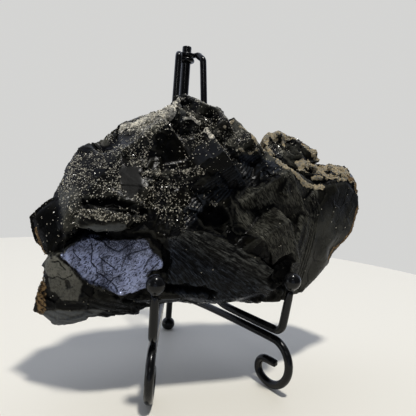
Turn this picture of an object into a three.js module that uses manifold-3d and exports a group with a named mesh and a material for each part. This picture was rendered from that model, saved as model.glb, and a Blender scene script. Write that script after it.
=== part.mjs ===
// A fluorite specimen resting on a folding wire easel.
// Millimetres, +Z up, front towards -Y. The origin is under the post, on the surface that the easel
// stands on, so the Z axis is the line that both gates turn about.

import * as THREE from "three";
import { ConvexGeometry } from "three/addons/geometries/ConvexGeometry.js";
import { mergeVertices } from "three/addons/utils/BufferGeometryUtils.js";
import Module from "manifold-3d";

const wasm = await Module();
wasm.setup();

// Driving dimensions.
const WIRE_D = 3.2; // both gates and the rear leg
const WIRE_R = WIRE_D / 2;
const BALL_D = 6.8; // prong and foot balls
const CLEAR = 0.3; // between pieces that touch
const TUBE_D = 4.6; // tube that both gates turn on
const TUBE_BORE_D = WIRE_D + 2 * CLEAR;
const TUBE_BOTTOM = 15;
const TUBE_TOP = 146;
const TUBE_CHAMFER = 0.5;
const LEG_WIRE_TOP = 60; // how far the rear leg is pushed up into the tube
const SOCKET_Z = 3; // floor of the socket in the rear foot ball
const FOOT_FLAT_R = 1.2; // the flat that the rear foot stands on
const GATE_ANGLE = 17.2; // degrees from straight ahead, at rest
const EYE_R = TUBE_D / 2 + CLEAR + WIRE_R;
const EYE_SWEEP = 275; // degrees that a low eye goes round the tube
const GATE_OFFSET = 3.5; // from the post's axis to the plane of a gate
const OFFSET_REACH = 6; // where a wire has come over from its eye to that plane
const BAR_REACH = 25; // where a leg has come from its eye's height to the bar's

const BAR_Z = 20.3; // the leg bars
const ARM_Z = 24.0; // the arms, lying just above the bars
const SCROLL_R = (BAR_Z - WIRE_R) / 2;
const SCROLL_REACH = 71.4; // from the post to the middle of the scroll
const CURL_R = 4.2; // the tight inner turn of the scroll
const CURL_JOIN = 238.4; // degrees, where the scroll tightens into the curl
const SCROLL_TAIL = 5.4;

const REST_REACH = 9.8; // top of the back rest, from the post
const REST_LEAN = 0.15; // forward run of the back rest for each mm down
const ARM_BEND_R = 18;
const PRONG_REACH = 75.3;
const PRONG_LEAN = 0.14;
const PRONG_BEND_R = 4;
const PRONG_BALL_Z = 45.2;

const EAR_D = 8.6; // the flattened ears at the top of the gates
const EAR_THICK = 2;
const TONGUE_REACH = 6.5;
const WIRE_START = 4.9; // the full round of the wire starts clear of the other gate's ear
const SHOULDER_BEND_R = 3;

// The two gates' eyes and ears lie next to each other on the tube, so their heights differ.
const GATES = [
  { side: "left", sign: -1, lowEye: 21.9, ear: 139.2, shoulder: 140.9 },
  { side: "right", sign: 1, lowEye: 18.4, ear: 141.6, shoulder: 138.8 },
];

const RAD = Math.PI / 180;
const WIRE_SIDES = 10;
const EYE_STEPS = 15;
const ROUND_SIDES = 16; // balls, ears and the tube
const BALL_STEPS = 10; // from the bottom of a ball to its top

// Materials.
const gloss = () => new THREE.MeshStandardMaterial({ color: 0x101112, roughness: 0.25, metalness: 0.4 });
const fluorite = () => new THREE.MeshStandardMaterial({ color: 0x1c1d20, roughness: 0.35, metalness: 0 });

// A wire's centreline as a list of stations: straight stretches need only their two ends.
class WirePath extends THREE.Curve {
  constructor(stations) {
    super();
    this.stations = stations;
  }

  getPoint(t) {
    const last = this.stations.length - 1;
    const i = Math.min(last - 1, Math.floor(t * last));
    return this.stations[i].clone().lerp(this.stations[i + 1], t * last - i);
  }

  getUtoTmapping(u) {
    return u;
  }
}

// A flat list of (reach, height) points, with each inner corner rounded to its radius.
function filleted(corners) {
  const points = corners.map(([s, z]) => new THREE.Vector2(s, z));
  const out = [points[0]];
  for (let i = 1; i < points.length - 1; i++) {
    const radius = corners[i][2];
    const before = points[i - 1].clone().sub(points[i]).normalize();
    const after = points[i + 1].clone().sub(points[i]).normalize();
    const half = Math.acos(before.dot(after)) / 2;
    const inward = before.clone().add(after).normalize();
    const centre = inward.multiplyScalar(radius / Math.sin(half)).add(points[i]);
    const turn = Math.PI - 2 * half;
    const steps = Math.max(2, Math.ceil(turn / (15 * RAD)));
    const way = -Math.sign(before.cross(after));
    const from = before.multiplyScalar(radius / Math.tan(half)).add(points[i]).sub(centre);
    for (let k = 0; k <= steps; k++) {
      out.push(from.clone().rotateAround(new THREE.Vector2(), (way * turn * k) / steps).add(centre));
    }
  }
  out.push(points[points.length - 1]);
  return out;
}

// Points on an arc of the gate's plane, without its first point.
function arc(centre, radius, fromDeg, toDeg, stepDeg = 15) {
  const steps = Math.ceil(Math.abs(toDeg - fromDeg) / stepDeg);
  return Array.from({ length: steps }, (_, k) => {
    const a = (fromDeg + ((toDeg - fromDeg) * (k + 1)) / steps) * RAD;
    return new THREE.Vector2(centre.x + radius * Math.cos(a), centre.y + radius * Math.sin(a));
  });
}

// The open eye that a wire makes round the post before it leaves along the gate's plane.
function eye(height) {
  return Array.from({ length: EYE_STEPS }, (_, k) => {
    const a = -EYE_SWEEP * (1 - k / EYE_STEPS) * RAD;
    return new THREE.Vector3(EYE_R * Math.sin(a), EYE_R * Math.cos(a), height);
  });
}

// The flattened ear at the top of a gate: a ring round the tube and the tongue that joins it to the wire.
function ear(height) {
  const [inner, outer, half] = [TUBE_D / 2 + CLEAR, EAR_D / 2, EAR_THICK / 2];
  const profile = [
    [inner, -half],
    [outer, -half],
    [outer, half],
    [inner, half],
    [inner, -half],
  ].map(([r, z]) => new THREE.Vector2(r, z));
  const ring = new THREE.LatheGeometry(profile, ROUND_SIDES).rotateX(Math.PI / 2).translate(0, 0, height);
  const length = TONGUE_REACH - inner;
  const tongue = new THREE.BoxGeometry(length, WIRE_D, EAR_THICK);
  tongue.translate(inner + length / 2, GATE_OFFSET, height);
  return solid(ring).add(solid(tongue));
}

// A round wire along its stations, with flats that give the same area as the round section.
function sweep(stations) {
  const section = new THREE.Shape();
  for (let k = 0; k < WIRE_SIDES; k++) {
    const a = ((k + 0.5) * 2 * Math.PI) / WIRE_SIDES;
    const r = WIRE_R / Math.cos(Math.PI / WIRE_SIDES) ** 0.5;
    section[k ? "lineTo" : "moveTo"](r * Math.cos(a), r * Math.sin(a));
  }
  section.closePath();
  return new THREE.ExtrudeGeometry(section, {
    steps: stations.length - 1,
    extrudePath: new WirePath(stations),
    bevelEnabled: false,
  });
}

function legWire(gate) {
  const scroll = new THREE.Vector2(SCROLL_REACH, BAR_Z - SCROLL_R);
  const inward = new THREE.Vector2(Math.cos(CURL_JOIN * RAD), Math.sin(CURL_JOIN * RAD));
  const curl = inward.clone().multiplyScalar(SCROLL_R - CURL_R).add(scroll);
  const flat = [
    new THREE.Vector2(0, gate.lowEye),
    new THREE.Vector2(OFFSET_REACH, gate.lowEye),
    new THREE.Vector2(BAR_REACH, BAR_Z),
    new THREE.Vector2(SCROLL_REACH, BAR_Z),
    ...arc(scroll, SCROLL_R, 90, CURL_JOIN - 360),
    ...arc(curl, CURL_R, CURL_JOIN, 90, 20),
    new THREE.Vector2(curl.x + SCROLL_TAIL, curl.y + CURL_R),
  ];
  const stations = flat.map((p) => {
    const over = Math.min(1, p.x / OFFSET_REACH);
    return new THREE.Vector3(p.x, THREE.MathUtils.lerp(EYE_R, GATE_OFFSET, over), p.y);
  });
  return sweep([...eye(gate.lowEye), ...stations]);
}

function restWire(gate) {
  const restFoot = REST_REACH + REST_LEAN * (gate.shoulder - ARM_Z);
  const prongTop = PRONG_BALL_Z - BALL_D / 2 - CLEAR;
  const flat = filleted([
    [WIRE_START, gate.ear],
    [REST_REACH, gate.shoulder, SHOULDER_BEND_R],
    [restFoot, ARM_Z, ARM_BEND_R],
    [PRONG_REACH, ARM_Z, PRONG_BEND_R],
    [PRONG_REACH + PRONG_LEAN * (prongTop - ARM_Z), prongTop],
  ]);
  const wire = sweep(flat.map((p) => new THREE.Vector3(p.x, GATE_OFFSET, p.y)));
  return geometryOf(ear(gate.ear).add(solid(wire)));
}

function prongBall() {
  const reach = PRONG_REACH + PRONG_LEAN * (PRONG_BALL_Z - ARM_Z);
  const ball = new THREE.SphereGeometry(BALL_D / 2, ROUND_SIDES, BALL_STEPS);
  return ball.rotateX(Math.PI / 2).translate(reach, GATE_OFFSET, PRONG_BALL_Z);
}

// The foot ball has a small flat underneath, and a socket on top that holds the leg wire.
function rearFoot() {
  const r = BALL_D / 2;
  const profile = [new THREE.Vector2(0, 0)];
  const from = -Math.acos(FOOT_FLAT_R / r);
  const to = Math.acos((WIRE_R + CLEAR) / r);
  const middle = -r * Math.sin(from);
  for (let k = 0; k <= BALL_STEPS; k++) {
    const a = from + ((to - from) * k) / BALL_STEPS;
    profile.push(new THREE.Vector2(r * Math.cos(a), middle + r * Math.sin(a)));
  }
  profile.push(new THREE.Vector2(WIRE_R + CLEAR, SOCKET_Z));
  profile.push(new THREE.Vector2(0, SOCKET_Z));
  return new THREE.LatheGeometry(profile, ROUND_SIDES).rotateX(Math.PI / 2);
}

function rearLegWire() {
  const bottom = SOCKET_Z + CLEAR;
  return new THREE.CylinderGeometry(WIRE_R, WIRE_R, LEG_WIRE_TOP - bottom, WIRE_SIDES)
    .rotateX(Math.PI / 2)
    .translate(0, 0, (LEG_WIRE_TOP + bottom) / 2);
}

// The tube is bored from below for the leg wire, and closed above it.
function postTube() {
  const bore = TUBE_BORE_D / 2;
  const boreTop = LEG_WIRE_TOP + CLEAR;
  const profile = [
    [0, boreTop],
    [bore, boreTop],
    [bore, TUBE_BOTTOM],
    [TUBE_D / 2, TUBE_BOTTOM],
    [TUBE_D / 2, TUBE_TOP - TUBE_CHAMFER],
    [TUBE_D / 2 - TUBE_CHAMFER, TUBE_TOP],
    [0, TUBE_TOP],
  ].map(([r, z]) => new THREE.Vector2(r, z));
  return new THREE.LatheGeometry(profile, ROUND_SIDES).rotateX(Math.PI / 2);
}

// The specimen: crystals grown into one another. Each block is the hull of its corners (x, y, z), and y
// runs from the back rest (about -15) to the front (about -70).
const MASSES = {
  body: [
    [-36, -62, 36], [-5, -60, 36], [32, -58, 36], [-41, -62, 58], [-17, -66, 59], [12, -66, 56],
    [39, -58, 61], [-37, -52, 81], [-11, -54, 88], [15, -54, 84], [-24, -36, 101], [-2, -34, 110],
    [20, -34, 102], [63, -44, 69], [-46, -24, 44], [-30, -40, 27], [24, -42, 27], [44, -28, 36],
    [64, -24, 60], [-44, -20, 78], [-14, -16, 104], [8, -16, 106], [40, -18, 90], [-12, -25, 46],
    [14, -25, 46],
  ],
  facetSlab: [
    [-56, -57, 53], [-50, -59, 58], [-28, -63, 58], [-22, -65, 50], [-28, -65, 42], [-37, -65, 39],
    [-47, -63, 43], [-52, -61, 47], [-50, -44, 36], [-50, -44, 58], [-20, -50, 36], [-20, -50, 60],
  ],
  leftFoot: [
    [-65, -49, 34], [-65, -48, 29], [-59, -48, 24], [-54, -48, 24], [-44, -50, 27], [-30, -54, 29],
    [-24, -54, 31], [-63, -50, 46], [-52, -58, 36], [-37, -61, 36], [-52, -60, 50], [-60, -56, 52],
    [-59, -34, 32], [-56, -30, 50], [-24, -40, 27], [-34, -30, 34],
  ],
  leftKnob: [
    [-68, -46, 63], [-65, -46, 67], [-60, -46, 71], [-55, -54, 67], [-55, -56, 58], [-62, -54, 51],
    [-66, -47, 56], [-60, -30, 52], [-58, -28, 66], [-40, -24, 70], [-40, -30, 50],
  ],
  leftShoulder: [
    [-60, -44, 71], [-58, -42, 76], [-55, -40, 83], [-53, -36, 88], [-47, -34, 92], [-41, -32, 95],
    [-36, -30, 99], [-33, -30, 103], [-25, -32, 106], [-19, -34, 108], [-55, -58, 66], [-52, -62, 70],
    [-32, -66, 69], [-23, -55, 86], [-41, -52, 84], [-44, -20, 84], [-30, -18, 98], [-10, -16, 100],
    [-46, -24, 66], [0, -22, 80],
  ],
  lip: [
    [-54, -60, 63], [-52, -64, 69], [-42, -67, 69], [-33, -68, 66], [-36, -66, 62], [-46, -64, 61],
    [-40, -46, 62], [-20, -46, 62],
  ],
  fan: [
    [-20, -66, 57], [-16, -68, 63], [-4, -69, 61], [16, -69, 52], [29, -66, 42], [24, -62, 37],
    [1, -60, 34], [-14, -62, 37], [-20, -66, 45], [-10, -44, 28], [24, -44, 28], [30, -40, 50],
    [-10, -40, 60],
  ],
  rightWedge: [
    [38, -56, 73], [52, -50, 82], [70, -44, 87], [80, -40, 83], [81, -40, 73], [77, -42, 61],
    [65, -46, 52], [63, -46, 46], [45, -52, 35], [36, -56, 35], [34, -60, 50], [37, -60, 63],
    [40, -30, 36], [62, -24, 60], [76, -26, 72], [74, -24, 84], [50, -20, 86], [48, -40, 32],
  ],
  topRight: [
    [27, -38, 101], [32, -34, 104], [39, -32, 105], [49, -30, 104], [57, -30, 100], [60, -32, 96],
    [57, -36, 93], [45, -44, 88], [28, -46, 92], [40, -18, 94], [56, -20, 90], [30, -18, 88],
  ],
  rightRim: [
    [56, -38, 91], [64, -38, 92], [73, -36, 92], [79, -36, 89], [81, -38, 84], [70, -44, 88],
    [54, -46, 86], [60, -20, 86], [74, -24, 84], [50, -24, 78],
  ],
};

// Cubic crystals standing out of the masses: centre, edge length and turns about X, Y and Z in degrees.
const CUBES = [
  { at: [-7, -33, 101], edge: 17, turn: [20, 15, 10] },
  { at: [-22, -42, 90], edge: 20, turn: [15, 50, -5] },
  { at: [4, -35, 100], edge: 16, turn: [20, 52, 8] },
  { at: [14, -37, 92], edge: 20, turn: [20, 48, 12] },
  { at: [-2, -48, 84], edge: 21, turn: [25, 45, 5] },
  { at: [24, -48, 76], edge: 24, turn: [15, 52, 8] },
  { at: [44, -30, 93], edge: 17, turn: [10, 30, 20] },
  { at: [20, -56, 58], edge: 22, turn: [10, 58, 15] },
];

function solid(geometry) {
  const bare = geometry.clone();
  for (const name of ["normal", "uv"]) bare.deleteAttribute(name);
  const merged = mergeVertices(bare, 1e-4);
  const mesh = new wasm.Mesh({
    numProp: 3,
    vertProperties: new Float32Array(merged.attributes.position.array),
    triVerts: new Uint32Array(merged.index.array),
  });
  return new wasm.Manifold(mesh);
}

function geometryOf(manifold) {
  const mesh = manifold.getMesh();
  const geometry = new THREE.BufferGeometry();
  geometry.setAttribute("position", new THREE.BufferAttribute(new Float32Array(mesh.vertProperties), 3));
  geometry.setIndex(new THREE.BufferAttribute(new Uint32Array(mesh.triVerts), 1));
  return geometry;
}

function specimen() {
  const masses = Object.values(MASSES).map((corners) =>
    solid(new ConvexGeometry(corners.map((c) => new THREE.Vector3(...c)))),
  );
  const cubes = CUBES.map(({ at, edge, turn }) => {
    const place = new THREE.Matrix4().makeRotationFromEuler(new THREE.Euler(...turn.map((t) => t * RAD)));
    return solid(new THREE.BoxGeometry(edge, edge, edge).applyMatrix4(place.setPosition(...at)));
  });
  return geometryOf([...masses, ...cubes].reduce((whole, piece) => whole.add(piece)));
}

function mesh(name, geometry, material) {
  const m = new THREE.Mesh(geometry, material);
  m.name = name;
  return m;
}

function gateGroup(gate) {
  const group = new THREE.Group();
  const parts = [
    [`${gate.side}_leg_wire`, legWire(gate)],
    [`${gate.side}_rest_wire`, restWire(gate)],
    [`${gate.side}_prong_ball`, prongBall()],
  ];
  for (const [name, geometry] of parts) {
    // A gate is drawn reaching along +X with its plane on the +Y side, and turned to face the front.
    const placed = gate.sign > 0 ? geometry : flipped(geometry);
    placed.rotateZ((-90 + gate.sign * GATE_ANGLE) * RAD);
    group.add(mesh(name, placed, gloss()));
  }
  return group;
}

// The mirror image in the XZ plane, with its triangles turned so that they still face out.
function flipped(geometry) {
  const g = geometry.index ? geometry.toNonIndexed() : geometry.clone();
  const p = g.attributes.position;
  for (let i = 0; i < p.count; i++) p.setY(i, -p.getY(i));
  for (let i = 0; i < p.count; i += 3) {
    const [a, b] = [i + 1, i + 2].map((k) => new THREE.Vector3().fromBufferAttribute(p, k));
    p.setXYZ(i + 1, b.x, b.y, b.z);
    p.setXYZ(i + 2, a.x, a.y, a.z);
  }
  return g;
}

const object = new THREE.Group();
object.add(mesh("fluorite_specimen", specimen(), fluorite()));
object.add(mesh("post_tube", postTube(), gloss()));
object.add(mesh("rear_leg_wire", rearLegWire(), gloss()));
object.add(mesh("rear_foot_ball", rearFoot(), gloss()));
for (const gate of GATES) object.add(gateGroup(gate));

export default object;
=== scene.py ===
"""A dark fluorite specimen on a folding wire easel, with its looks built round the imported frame.

Blender works in metres. The stone's own features are placed in millimetres, in the frame's axes:
+Z up, the front towards -Y, and the origin under the easel's post.
"""

import itertools
import math

import bpy
import numpy as np
from bpy.props import FloatProperty, FloatVectorProperty, IntProperty, PointerProperty
from mathutils import Matrix, Vector


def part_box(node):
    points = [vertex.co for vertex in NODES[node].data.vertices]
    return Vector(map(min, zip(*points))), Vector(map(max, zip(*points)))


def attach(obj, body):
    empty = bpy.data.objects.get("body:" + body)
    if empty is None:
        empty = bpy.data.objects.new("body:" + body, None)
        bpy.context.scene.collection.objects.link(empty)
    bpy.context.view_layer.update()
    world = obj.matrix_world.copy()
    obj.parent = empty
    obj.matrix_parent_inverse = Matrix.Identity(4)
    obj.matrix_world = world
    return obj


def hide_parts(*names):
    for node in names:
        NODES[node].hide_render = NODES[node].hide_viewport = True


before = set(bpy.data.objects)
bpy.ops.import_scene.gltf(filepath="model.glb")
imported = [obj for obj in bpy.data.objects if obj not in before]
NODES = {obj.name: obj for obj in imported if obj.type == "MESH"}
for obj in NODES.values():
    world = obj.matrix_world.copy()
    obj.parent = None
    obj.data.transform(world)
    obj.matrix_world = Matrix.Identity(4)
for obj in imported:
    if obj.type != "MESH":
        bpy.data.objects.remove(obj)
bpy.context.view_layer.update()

bl_info = {
    "name": "Fluorite on a wire easel",
    "version": (1, 0, 0),
    "blender": (4, 5, 0),
    "location": "View3D > Sidebar > Specimen",
    "description": "Builds a dark fluorite specimen and the folding wire easel that holds it",
    "category": "Object",
}

MM = 0.001

# The easel, in millimetres.
WIRE_R = 1.6
BALL_R = 3.4
TUBE_R = 2.3
TUBE_BORE_R = 1.9
TUBE_LOW = 15
TUBE_HIGH = 146
LEG_LOW = 3
LEG_HIGH = 60
PRONG_DOWN = {"left": (0.047, 0.132, -1), "right": (-0.047, 0.132, -1)}

# Crystals standing out of the mass: centre, edge and turns about X, Y and Z in degrees.
CRYSTALS = [
    ((-7, -33, 101), 17, (20, 15, 10)),
    ((-22, -42, 90), 20, (15, 50, -5)),
    ((4, -35, 100), 16, (20, 52, 8)),
    ((14, -37, 92), 20, (20, 48, 12)),
    ((-2, -48, 84), 21, (25, 45, 5)),
    ((44, -30, 93), 17, (10, 30, 20)),
    ((24, -48, 76), 24, (15, 52, 8)),
    ((20, -56, 58), 22, (10, 58, 15)),
]

# The first crystals in the list have low terraces on each face; those near the base have none.
TERRACED = 6
TERRACES = 4
TERRACE_THICK = 4

# Blocks that fill the mass out to its true outline: centre, size and turns in the same way.
FILLERS = [
    ((-2.6, -33, 106), (15, 13, 16), (14, 13, 25)),
    ((-10.6, -33.5, 112), (5.5, 5, 4.5), (20, 10, 30)),
    ((-14.6, -34.8, 107.6), (4, 5, 4.6), (10, 10, 15)),
    ((36.2, -51.8, 80.4), (30, 10, 10), (0, 12.9, 33)),
    ((50, -42.5, 83.8), (17, 12, 6), (0, 9, 12)),
    ((-54.4, -52.5, 66), (5.5, 8, 12), (0, 12, 20)),
    ((-57.6, -50.3, 54.4), (7, 7, 6), (0, 8, 15)),
    ((27.5, -55, 35.5), (13, 8, 6), (-10, -4, 15)),
]

# How far the stone's back is drawn in where the easel's back rests pass it.
BACK_GAP = 1.4

# Pushes of the mass, out or in: a line of (x, z) points, how far the push reaches, and the push.
PUSHES = [
    ([(82, 72), (70, 59), (58, 53)], 9, (0.9, 0, -0.5)),
    ([(57, 49), (52, 41), (44, 36)], 8, (1.1, 0, -0.9)),
    ([(36, 33), (28, 31.5), (23, 31)], 6, (0, 0, -1.5)),
    ([(57, 94), (55, 97)], 6, (2.2, 0, 0.5)),
    ([(-57, 24), (-50, 27)], 6, (0, 0, -1.2)),
    ([(-63, 43), (-63, 39)], 4, (1.0, 0, 0)),
    ([(-27, 103), (-24, 104.5)], 4, (0, 0, 0.5)),
    ([(-62, 26), (-60, 24)], 4, (0.8, 0, 0.6)),
    ([(-43, 93), (-39, 96)], 5.5, (0.9, 0, -3.4)),
    ([(-16, 27), (-6, 28)], 5, (0, 0, 0.9)),
    ([(68, 55), (64, 51)], 7, (-1.3, 0, 1.0)),
    ([(-28, 28), (-21, 28)], 4, (0, 0, -0.6)),
]

# Areas of the front, as outlines of (x, z) seen from the front.
AREAS = {
    "mirror": [
        (-57, 51.5), (-50.5, 57.5), (-47, 58.5), (-41, 57.5), (-28.5, 58.5), (-27, 55.5), (-22, 51),
        (-22, 49), (-28, 46.5), (-27.5, 41), (-33.5, 39), (-37.5, 39), (-42, 41.5), (-47, 43),
    ],
    "ash": [
        (-62, 50), (-58, 51), (-52, 46.5), (-49.5, 41.5), (-50.5, 35.5), (-55.5, 34.5), (-59, 37.5),
        (-61.5, 45),
    ],
    "knob": [
        (-70, 62), (-64.5, 69), (-59.5, 71), (-57, 65), (-56, 58.5), (-56, 51.5), (-62, 50), (-67, 55),
    ],
    "toe": [(-63, 28), (-57, 30.5), (-40, 31), (-44, 27), (-55, 21), (-63, 23)],
    # The sump holds only painted shade, above the toe.
    "sump_shade": [(-62, 38), (-59, 34.5), (-55, 33.5), (-49.5, 34.5), (-47, 33), (-50, 31.5), (-62, 31)],
    "haze": [(-58.5, 74), (-52, 76), (-50.5, 70), (-52, 61), (-56, 58.5)],
    "belly": [(-50, 35), (-42, 37), (-30, 37), (-20, 34), (0, 30), (0, 20), (-50, 20)],
    "dome": [
        (-59, 73.5), (-55, 84), (-52.5, 88), (-39, 90), (-34, 102), (-25, 108), (-19, 107), (-22, 101),
        (-25, 97), (-28, 86), (-31, 81), (-31, 72.5), (-45, 71), (-51.5, 72), (-56.5, 72),
    ],
    "smooth_patch": [(-38, 83), (-31.5, 84), (-30, 76), (-34, 73), (-37.5, 77)],
    "lip": [(-52, 61.5), (-46.5, 64), (-36.5, 64.5), (-36.5, 59.5), (-47, 59)],
    "glitter": [(-31, 83), (-9, 84.5), (-6, 77), (-15, 61), (-22, 65), (-31, 72)],
    "starry": [
        (-27, 84.5), (-22, 99), (-15, 105), (-9, 99), (-4.5, 96), (3, 99), (9, 95), (12, 89), (2.5, 80),
    ],
    "crystals": [
        (-29, 81), (-23, 90), (-14, 108), (0, 116), (18, 106), (28, 96), (28, 84), (12, 89), (3, 80),
        (-12, 81),
    ],
    "satin": [(47, 81), (69, 84.5), (81, 78), (82, 64), (52, 36), (40, 35), (39, 54), (42, 70)],
    "splinter": [(8, 78), (24, 83), (27, 90), (46, 83), (50, 81), (44, 54), (38, 40), (6, 67)],
    "band": [(22, 93), (26, 88), (-5, 70), (-15, 62), (-15, 70), (-3, 84), (12, 92)],
    "cavity": [(-7.5, 71), (-2.5, 73.5), (3.5, 70), (4.5, 65.5), (0, 62), (-6.5, 63.5), (-8.5, 67.5)],
    "cleft": [(19, 44.5), (25.5, 52), (31, 54.5), (34.5, 50), (36.5, 36.5), (23, 39)],
    "fan": [
        (-21, 59), (-14, 63.5), (4, 58), (24, 47), (26, 36), (10, 31), (-6.5, 33), (-19, 40), (-21, 50.5),
    ],
}

# Where the fan's fibres would meet.
FAN_HUB = (-44, -60, 76)

# Frosted cleavage and hazy swellings, as a spot (x, z) and two half widths.
PATCHES = [
    ((12, 73.5), 6, 3.6),
    ((33, 78), 8, 4),
    ((30, 62), 8, 6),
    ((-43, 93.5), 3.6, 2),
    ((42, 95.5), 9, 5),
    ((-61, 74), 1.8, 3),
    ((-57.5, 80), 1.3, 5),
    ((18, 35), 6, 1.4),
]

# Lines on the stone, as (x, y, z) points, or (x, z) points where they run over the front at any depth.
CREAM_EDGES = [
    [
        (-12, -45, 104.5), (-8.5, -44.5, 105.5), (-5, -44.5, 103), (-3, -47, 100.5), (-3, -53.5, 97.5),
        (2.5, -46, 100.5), (5, -46, 103), (12.5, -36.5, 107),
    ],
    [(12.5, -40, 106.5), (16, -48.5, 102), (16, -52, 99), (18.5, -51, 97.5)],
    [(9.5, -50.5, 94.5), (12.5, -51.5, 93.5), (16.5, -50, 93), (18, -51, 94.5), (27.5, -41.5, 96)],
]
SEAM = [
    (27.5, -41.5, 96), (29, -45, 94), (25.5, -56.5, 90.5), (28, -64.5, 87.5), (37.5, -57.5, 83),
    (46.5, -51.5, 81), (50, -50.5, 81.5), (53, -50, 81),
]
LEFT_CRUST = [(-62.5, -51, 41), (-63, -50.5, 36.5)]
SPUR = [(37, -35.5, 104), (37.5, -36, 101), (38, -38, 97.5)]
CREST = [
    (-34.5, -34.5, 99), (-31.5, -36.5, 101), (-28.5, -36, 102.5), (-24, -37, 104), (-21, -36, 105),
    (-17, -36, 108), (-13.5, -35.5, 110.5),
]
BLOCK_RIM = [
    (25.5, -36, 97.5), (28, -37, 100.5), (32.5, -35.5, 103), (37, -35.5, 103.5), (41, -35.5, 103),
    (45, -37, 101.5), (50.5, -35.5, 99.5), (55, -35, 97), (57, -35, 94.5),
]
RIM_MIDDLE = [(43.5, -45, 88), (48, -48.5, 85), (55, -47.5, 85.5), (59.5, -45.5, 86.5)]
RIM_HIGH = [(45, -42.5, 90.5), (53, -41, 90.5), (60.5, -41.5, 90), (67, -42.5, 90), (73.5, -41, 89.5)]
RIM_LOW = [
    (54, -41, 88), (56.5, -45.5, 86.5), (61.5, -45.5, 86), (65.5, -46.5, 86), (71, -44.5, 86.5),
    (77, -40.5, 85.5), (79, -41, 80.5),
]
SILL = [
    (-51.5, -64.5, 69), (-49, -65.5, 68), (-45.5, -66.5, 67.5), (-41.5, -68, 66), (-37.5, -69, 67),
    (-30.5, -60, 66.5),
]
GLINT = [(-3.6, -59, 72.4), (-2.2, -59, 73.2), (-1.6, -59, 72)]
GLITTER_LINE = [
    (-30, -57, 82), (-24.5, -57, 82.5), (-20.5, -54.5, 83), (-14.5, -55.5, 83), (-12, -57, 84),
    (-10, -61, 84.5), (-8, -61, 84),
]
RIGHT_EDGE = [(81, 72.5), (79, 66), (76.5, 60.5), (71.5, 55.5), (65, 52.5), (62, 48)]
LEFT_EDGE = [(-65.5, 59), (-62.5, 51.5), (-63.5, 47), (-63.5, 44), (-61.5, 38.5)]
LEFT_SCAR = [(-62.5, 37), (-62.5, 29)]
GROOVE = [(-50, 70.5), (-40, 71.5), (-30, 68.5)]
# A painted highlight along the knob's lower rim.
KNOB_RIM_HIGHLIGHT = [(-62, 51.5), (-58.5, 51.5), (-55.5, 53)]
BROW = [(-51, 58.5), (-48, 60), (-40, 59.5), (-28, 60), (-24.5, 57.5), (-20.5, 52), (-21, 47)]
LEDGE = [(-21, 41), (-6, 39.5), (-1, 37)]
NOTCH = [(24, 50), (29, 46), (34, 41)]
EDGE_DROP = [(43, 80), (44.5, 70), (43.5, 60), (39, 38)]

# Cracks of the mirror facet and of the ashen one, as (x, z) points.
CRACKS = [
    [(-46.5, 56.5), (-46.5, 50), (-44, 46), (-40, 43.5), (-37, 45.5)],
    [(-44, 45.5), (-46, 41.5)],
    [(-53, 54), (-50, 50.5)],
    [(-44, 52), (-38.5, 47.5)],
    [(-43, 57.5), (-40, 54.5), (-37.5, 54), (-32.5, 57.5)],
    [(-34.5, 53), (-27, 56)],
    [(-29, 48), (-26, 53.5)],
    [(-27.5, 46.5), (-23.5, 51)],
    [(-39, 43), (-37, 39.5)],
    [(-59, 49), (-57, 49), (-55, 46.5)],
    [(-61, 42.5), (-56.5, 43.5), (-55, 43), (-52.5, 45)],
]

# Small cubes half sunk in the stone along a line: the line, how many, their edge and how far they stray.
SMALL_CRYSTALS = [
    (CREST, 24, 3.0, 0.8),
    (BLOCK_RIM[1:-1], 14, 2.8, 0.7),
    (RIM_HIGH, 14, 2.2, 0.6),
]

# Crusts that follow a line: the line, the crust's width and how thick it lies.
CREAM_LINES = [
    (CREST, 6.5, 1),
    (BLOCK_RIM, 6.4, 1),
    (RIM_HIGH, 7.0, 1),
    (RIM_LOW, 3.8, 1),
    (RIM_MIDDLE, 2.6, 1),
    (SEAM, 2.5, 1),
    (SPUR, 2.4, 1),
    (LEFT_CRUST, 3.0, 0.45),
    *((edge, 1.8, 0.85) for edge in CREAM_EDGES),
]
RUST_LINES = [
    (RIGHT_EDGE, 1.8, 1, 0.3),
    (LEFT_EDGE, 1.1, 1, 0.2),
    (LEFT_SCAR, 5.0, 0.55),
    (BLOCK_RIM[5:8], 3.0, 0.9),
    (RIM_LOW[4:], 3.0, 1),
]

# Lines along which the surface is cut or raised: the line, its height, width and raggedness.
CARVED_LINES = [
    (GROOVE, -2.6, 4.2, 0.25),
    (LEDGE, -3.2, 4.2, 0.3),
    (BROW, -1.2, 2.8, 0.3),
    (SILL, 1.2, 4.5, 0.3),
    (GLITTER_LINE, 0.8, 2.5, 0.3),
]

# The plane of the mirror facet: a point on it and the way it faces.
MIRROR_AT = (-38, -62.6, 49)
MIRROR_FACES = (-0.187, -0.98, 0.05)

# How far right the crust is still cream, and from where it is all tan.
TAN_FROM_TO = (-8, 12)

# Colours of the stone's dirt and cracks, and of the painted shade in its hollows.
DUSTY = (0.085, 0.08, 0.06)
HOLLOW_SHADE = (0.0012, 0.0012, 0.0015)
PITTED = (0.008, 0.009, 0.014)
CRACKED = (0.006, 0.006, 0.006)
EARTHY = (0.13, 0.11, 0.08)
RUSTY = (0.05, 0.028, 0.015)

# Kinds of surface, and painted light and shade, each an attribute that the stone's material reads.
MASKS = ("frost", "cool", "druse", "crust", "rust", "mirror", "ash", "ink", "crack", "split", "fibre")

# The studio's lights: place, size and colour. Their powers are among the settings.
LIGHTS = {
    "key": ((0.16, -0.60, 2.80), 0.24, (1.0, 0.98, 0.94)),
    "front": ((-0.38, -1.05, 0.75), 0.16, (0.95, 0.97, 1.0)),
    "side": ((-1.2, -0.10, 0.08), 0.36, (0.9, 0.95, 1.0)),
    "sky": ((-0.32, -1.15, 0.02), 0.7, (0.66, 0.74, 1.0)),
}
LIT_SPOT = (0, -0.04, 0.06)
FLOOR_R = 0.29

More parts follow.
